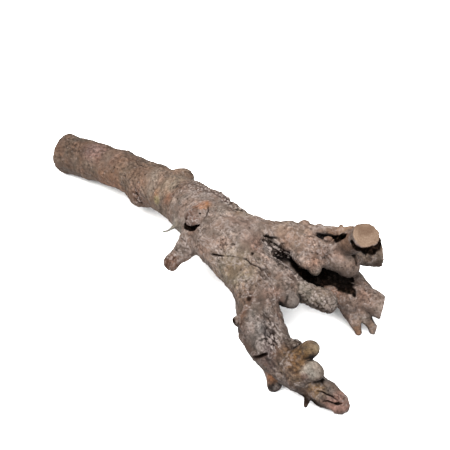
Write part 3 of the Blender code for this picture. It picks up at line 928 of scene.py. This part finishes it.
# Each stain is x, y, z, a radius, three screen values of its colour and a strength.
STAINS = [
    (-150, -15, 20, 24, 96, 78, 66, 0.8), (-95, -19, 20, 15, 132, 96, 74, 0.7),
    (-38, -17, 42.4, 3.4, 158, 106, 70, 0.75), (-34, -19.8, 39.5, 3.2, 160, 146, 102, 0.65),
    (-22.4, -18.9, 46.6, 5, 140, 98, 74, 0.5), (-60, -14, 24, 10, 112, 82, 68, 0.7),
    (17.8, -19.1, 61.5, 4.5, 148, 102, 72, 0.65), (17.4, -33.3, 58, 7.5, 88, 62, 50, 1.0),
    (16.9, -20.5, 61.2, 4.5, 158, 108, 74, 0.7), (63, -20, 56, 8, 140, 106, 92, 0.5),
    (61, -41, 44, 12, 118, 102, 84, 0.6), (74, 5, 61, 14, 132, 110, 94, 0.6),
    (96, 6, 56, 10, 132, 104, 88, 0.6), (100, -35, 40, 10, 112, 92, 82, 0.5),
    (91.4, -48.5, 43.8, 5, 96, 68, 54, 0.7), (103, -58, 40, 8, 118, 108, 100, 0.7),
    (92, -60, 33, 9, 104, 82, 68, 0.7), (86, -50, 42, 8, 120, 96, 80, 0.6),
    (112, -66, 24, 10, 100, 78, 66, 0.8), (128, -52, 30, 12, 108, 92, 80, 0.5),
    (146, -60, 16, 9, 84, 64, 52, 0.8), (157, -58, 11, 8, 78, 60, 50, 0.8),
    (0, -37, 40, 9, 128, 126, 116, 0.9), (-48, -5, 47, 17, 138, 117, 101, 0.6),
    (-31, -11, 50, 9, 156, 140, 122, 0.6), (-49, -8, 46, 9, 150, 130, 116, 0.5),
    (-123, -12, 35, 9, 122, 96, 92, 0.6), (-104, -10, 35.5, 8, 140, 116, 104, 0.4),
    (114, -61, 33, 7, 128, 116, 106, 0.7), (124, -63, 24, 7, 96, 78, 74, 0.7),
    (127, -63, 11.5, 4.5, 156, 106, 72, 0.85), (130, -65.5, 4, 4.4, 36, 27, 22, 1.0),
    (142, -53, 32, 12, 106, 78, 50, 1.0), (144.4, -48.4, 40, 5, 150, 120, 84, 0.8),
    (152, -55, 31, 6, 210, 194, 178, 0.95), (146.5, -45.5, 38, 4.5, 172, 144, 112, 0.8),
    (156, -54.5, 18, 5, 140, 108, 74, 0.8), (170, -51, 13, 7, 162, 120, 106, 0.9),
    (156, -60, 8, 8, 88, 70, 58, 0.8), (124, 15, 24, 16, 124, 100, 88, 0.6),
    (111, 4, 30, 10, 92, 72, 60, 0.8), (120, 9, 26, 9, 112, 90, 78, 0.6),
    (134, 11.5, 7, 6, 132, 98, 72, 0.7), (139, 18.5, 9, 5, 116, 96, 80, 0.6),
    (21.5, -55.5, 32.5, 8, 102, 72, 56, 1.0), (16, -56, 31, 5, 84, 60, 48, 0.9),
    (71, -38, 50, 13, 128, 114, 92, 0.5), (119, 38, 47, 14, 116, 96, 82, 0.8),
    (128, 30, 60, 8, 92, 74, 62, 0.7), (152, -52, 26, 5, 104, 90, 82, 0.6),
    (40, -5, 59, 10, 134, 120, 100, 0.5), (50, -20, 61, 9, 142, 122, 112, 0.5),
    (110, -10, 38, 12, 118, 106, 92, 0.7), (107, -24, 37, 5, 156, 142, 134, 0.9),
    (100, -31, 41, 4.5, 128, 100, 88, 0.7), (129, -47.5, 32, 4, 160, 146, 134, 0.8),
    (150, -58.5, 27, 2.5, 120, 76, 64, 0.6), (110, -60, 38, 8, 140, 128, 122, 0.75),
    (95, -57, 38.5, 5, 132, 96, 74, 0.7), (99, -62, 33, 6, 104, 76, 62, 0.6),
    (115.5, -56, 37.5, 4, 84, 68, 66, 0.7), (121.5, -60, 32, 5, 92, 74, 74, 0.7),
    (80, -4, 47, 6, 168, 154, 146, 0.5), (139.5, -55.5, 34, 7, 114, 84, 52, 0.8),
    (97, 27, 62, 9, 142, 110, 86, 0.6), (107, 31, 64, 7, 142, 110, 86, 0.6),
    (112, 20, 66, 7, 112, 84, 66, 0.8), (71.5, -9, 54, 4.5, 178, 164, 156, 0.6),
    (109, 14, 52.5, 4.5, 156, 132, 120, 0.6), (100, 9, 56.5, 4.5, 98, 76, 66, 0.5),
    (119, 42, 48, 8, 126, 106, 92, 0.6),
]


def tint_of(places, masks):
    """The bark's colour at each vertex, before the material's fine grain."""
    warp = warp_of(places / 7, 3, (170, 180, 190))
    fine = warp_of(places / 1.7, 1, (175, 185, 195))
    crown = np.clip(masks["crown"] + 0.25 * warp[:, 0], 0, 1)[:, None]
    tint = np.array(shown(*STEM_COLOUR)) * (1 - crown) + np.array(shown(*CROWN_COLOUR)) * crown
    for *middle, radius, red, green, blue, strength in STAINS:
        moved = places + 0.35 * radius * warp + 1.1 * fine
        share = strength * smooth_spot(moved, middle, radius, 0.6)[:, None]
        tint = tint * (1 - share) + np.array(shown(red, green, blue)) * share
    lower_root = ramp(places[:, 0] - 0.6 * places[:, 1], 95, 125) * (places[:, 1] < -22)
    tint = tint * (1 - LOWER_DARKENING * lower_root)[:, None]
    mottle = noise(places / 9, 200) + 0.9 * noise(places / 4.2, 201) + 0.8 * noise(places / 2.1, 202)
    tint = tint * (1 + 0.3 * mottle)[:, None]
    # Painted light and shade: raised bark is made paler and sunken bark darker.
    tint = tint * (1 + 0.24 * masks["relief"])[:, None]
    warm = rough_noise(places / 11, 2, 210)[:, None]
    return np.clip(tint * (1 + warm * np.array([0.12, -0.02, -0.08])), *TINT_RANGE)


def add_attribute(mesh, name, values):
    """Keeps a number for each vertex, or a colour where the values have three columns."""
    kind, key = ("FLOAT", "value") if values.ndim == 1 else ("FLOAT_COLOR", "color")
    if values.ndim > 1:
        values = np.concatenate([values, np.ones((len(values), 1))], axis=1)
    layer = mesh.attributes.new(name, kind, "POINT")
    layer.data.foreach_set(key, values.astype(np.float32).ravel())


def thinned(mesh, triangles):
    """The mesh with fewer faces, kept fine where the relief is strong."""
    obj = add_object("thin", mesh)
    thin = obj.modifiers.new("thin", "DECIMATE")
    thin.ratio = triangles / sum(len(face.vertices) - 2 for face in mesh.polygons)
    graph = bpy.context.evaluated_depsgraph_get()
    result = bpy.data.meshes.new_from_object(obj.evaluated_get(graph))
    bpy.data.objects.remove(obj, do_unlink=True)
    return result


# ---- material


class Nodes:
    """Short ways to add and join the nodes of one material."""

    def __init__(self, name):
        self.material = bpy.data.materials.new(name)
        self.material.use_nodes = True
        self.tree = self.material.node_tree
        self.shader = self.tree.nodes["Principled BSDF"]
        place = self.add("ShaderNodeTexCoord", {})["Object"]
        scale = {0: place, "Scale": 1 / MM}
        self.millimetres = self.add("ShaderNodeVectorMath", scale, operation="SCALE")[0]

    def set(self, node, name, value):
        """Joins an output to one of a node's inputs, or gives that input a number or a colour."""
        if isinstance(value, bpy.types.NodeSocket):
            self.tree.links.new(value, node.inputs[name])
        else:
            node.inputs[name].default_value = (*value, 1) if isinstance(value, tuple) else value

    def add(self, kind, inputs, **settings):
        node = self.tree.nodes.new(kind)
        for name, value in settings.items():
            setattr(node, name, value)
        for name, value in inputs.items():
            self.set(node, name, value)
        return node.outputs

    def attribute(self, name, output="Fac"):
        return self.add("ShaderNodeAttribute", {}, attribute_name=name)[output]

    def noise(self, per_mm, detail, roughness):
        inputs = {"Vector": self.millimetres, "Scale": per_mm, "Detail": detail, "Roughness": roughness}
        return self.add("ShaderNodeTexNoise", inputs)["Fac"]

    def cells(self, per_mm):
        inputs = {"Vector": self.millimetres, "Scale": per_mm}
        return self.add("ShaderNodeTexVoronoi", inputs)["Distance"]

    def ramp(self, value, low, high, from_value=0.0, to_value=1.0):
        inputs = {"Value": value, "From Min": low, "From Max": high, "To Min": from_value, "To Max": to_value}
        return self.add("ShaderNodeMapRange", inputs, interpolation_type="SMOOTHSTEP")[0]

    def math(self, operation, first, second):
        return self.add("ShaderNodeMath", {0: first, 1: second}, operation=operation)[0]

    def mix(self, share, first, second, blend="MIX"):
        inputs = {0: share, 6: first, 7: second}
        return self.add("ShaderNodeMix", inputs, data_type="RGBA", blend_type=blend)[2]

    def layered(self, colour, layers):
        """The colour with layers over it, each of them a share and a colour."""
        for share, layer in layers:
            colour = self.mix(share, colour, layer)
        return colour

    def bump(self, height, strength, distance_mm, **normal):
        inputs = {"Height": height, "Strength": strength, "Distance": distance_mm * MM, **normal}
        return self.add("ShaderNodeBump", inputs)["Normal"]


def bark_material():
    bark = Nodes("bark")
    tint = bark.attribute("tint", "Color")
    grain = bark.noise(0.42, 4, 0.66)
    patchy = bark.ramp(bark.noise(0.07, 2, 0.5), 0.38, 0.62, 0.3, 1.0)
    grained = bark.mix(bark.ramp(grain, 0.34, 0.66), (0.42, 0.4, 0.39), (1.58, 1.6, 1.62))
    colour = bark.mix(patchy, tint, bark.mix(1.0, tint, grained, "MULTIPLY"))

    blotch = bark.ramp(bark.noise(0.36, 4, 0.72), 0.55, 0.66, 0.0, 0.5)
    chalk = bark.ramp(bark.noise(0.55, 3, 0.75), 0.35, 0.6, 0.3, 1.0)
    colour = bark.layered(colour, [
        (bark.ramp(bark.cells(0.42), 0.08, 0.32, 0.55, 0.0), shown(52, 38, 31)),
        (bark.math("MULTIPLY", patchy, blotch), shown(62, 46, 38)),
        (bark.ramp(bark.noise(0.3, 2, 0.6), 0.6, 0.72, 0.0, 0.22), shown(132, 96, 74)),
        (bark.math("MULTIPLY", bark.attribute("pale"), chalk), shown(186, 172, 166)),
    ])
    lit = bark.mix(1.0, colour, (1.75, 1.78, 1.82), "MULTIPLY")
    speck = bark.ramp(bark.noise(0.9, 2, 0.7), 0.56, 0.68, 0.0, 0.8)
    # The colour of the painted black shade in the hollows and shadowed places.
    black = bark.mix(bark.ramp(grain, 0.5, 0.72), shown(10, 7, 5), shown(60, 45, 36))
    colour = bark.layered(colour, [
        (bark.math("MULTIPLY", patchy, speck), lit),
        # painted shade on the undersides
        (bark.math("MULTIPLY", bark.attribute("underside_shade"), 0.6), shown(42, 30, 24)),
        # painted shade where nearby bark stands over the place
        (bark.ramp(bark.attribute("shade"), 0.22, 0.75, 0.0, 0.93), shown(16, 10, 8)),
        # dark marks, with painted shade in the pits, gaps and cracks
        (bark.ramp(bark.attribute("dark_marks_and_shade"), 0.05, 0.85), shown(24, 16, 12)),
        # painted black shade in the hollows and shadowed places
        (bark.ramp(bark.attribute("black_shade"), 0.05, 1.0), black),
    ])

    wobble = bark.math("MULTIPLY", bark.noise(0.15, 2, 0.5), 3.2)
    ring = bark.math("MULTIPLY", bark.math("ADD", bark.attribute("rings"), wobble), 3.6)
    ring = bark.ramp(bark.math("SINE", ring, 0.0), -0.8, 0.9)
    wood = bark.layered(bark.mix(ring, shown(165, 139, 119), shown(172, 147, 126)), [
        (bark.ramp(bark.noise(1.6, 3, 0.6), 0.3, 0.7, 0.6, 0.0), shown(104, 80, 64)),
        (bark.ramp(bark.noise(0.09, 2, 0.5), 0.35, 0.65, 0.65, 0.0), shown(104, 78, 60)),
    ])
    colour = bark.mix(bark.attribute("sawn"), colour, wood)
    bark.set(bark.shader, "Base Color", colour)

    bark.set(bark.shader, "Roughness", bark.ramp(grain, 0.2, 0.8, 0.96, 0.78))
    dull = bark.math("MAXIMUM", bark.attribute("black_shade"), bark.attribute("dark_marks_and_shade"))
    bark.set(bark.shader, "Specular IOR Level", bark.ramp(dull, 0.0, 0.7, 0.08, 0.0))
    pits = bark.ramp(bark.cells(0.62), 0.05, 0.35)
    normal = bark.bump(grain, 0.55, 0.5)
    normal = bark.bump(pits, 0.45, 0.35, Normal=normal)
    normal = bark.bump(bark.noise(2.2, 3, 0.7), 0.4, 0.2, Normal=normal)
    bark.set(bark.shader, "Normal", normal)
    return bark.material


# ---- assembly
BODY_TRIANGLES = 196000

field = root_field()
body = mesh_of("root_bark", *field.surface())
masks = shape_bark(body, field)
masks["tint"] = tint_of(rows_of(body.vertices, "co") / MM + MIDDLE, masks)
del masks["relief"]
for mask_name, mask_values in masks.items():
    add_attribute(body, mask_name, mask_values)
if len(body.polygons) * 2 > BODY_TRIANGLES:
    body = thinned(body, BODY_TRIANGLES)
move_vertices(body, rows_of(body.vertices, "co"))
body.name = "root_bark"
body.materials.clear()
body.materials.append(bark_material())
body.shade_smooth()
root = add_object("root_bark", body)
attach(root, "root")
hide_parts("dry_root")
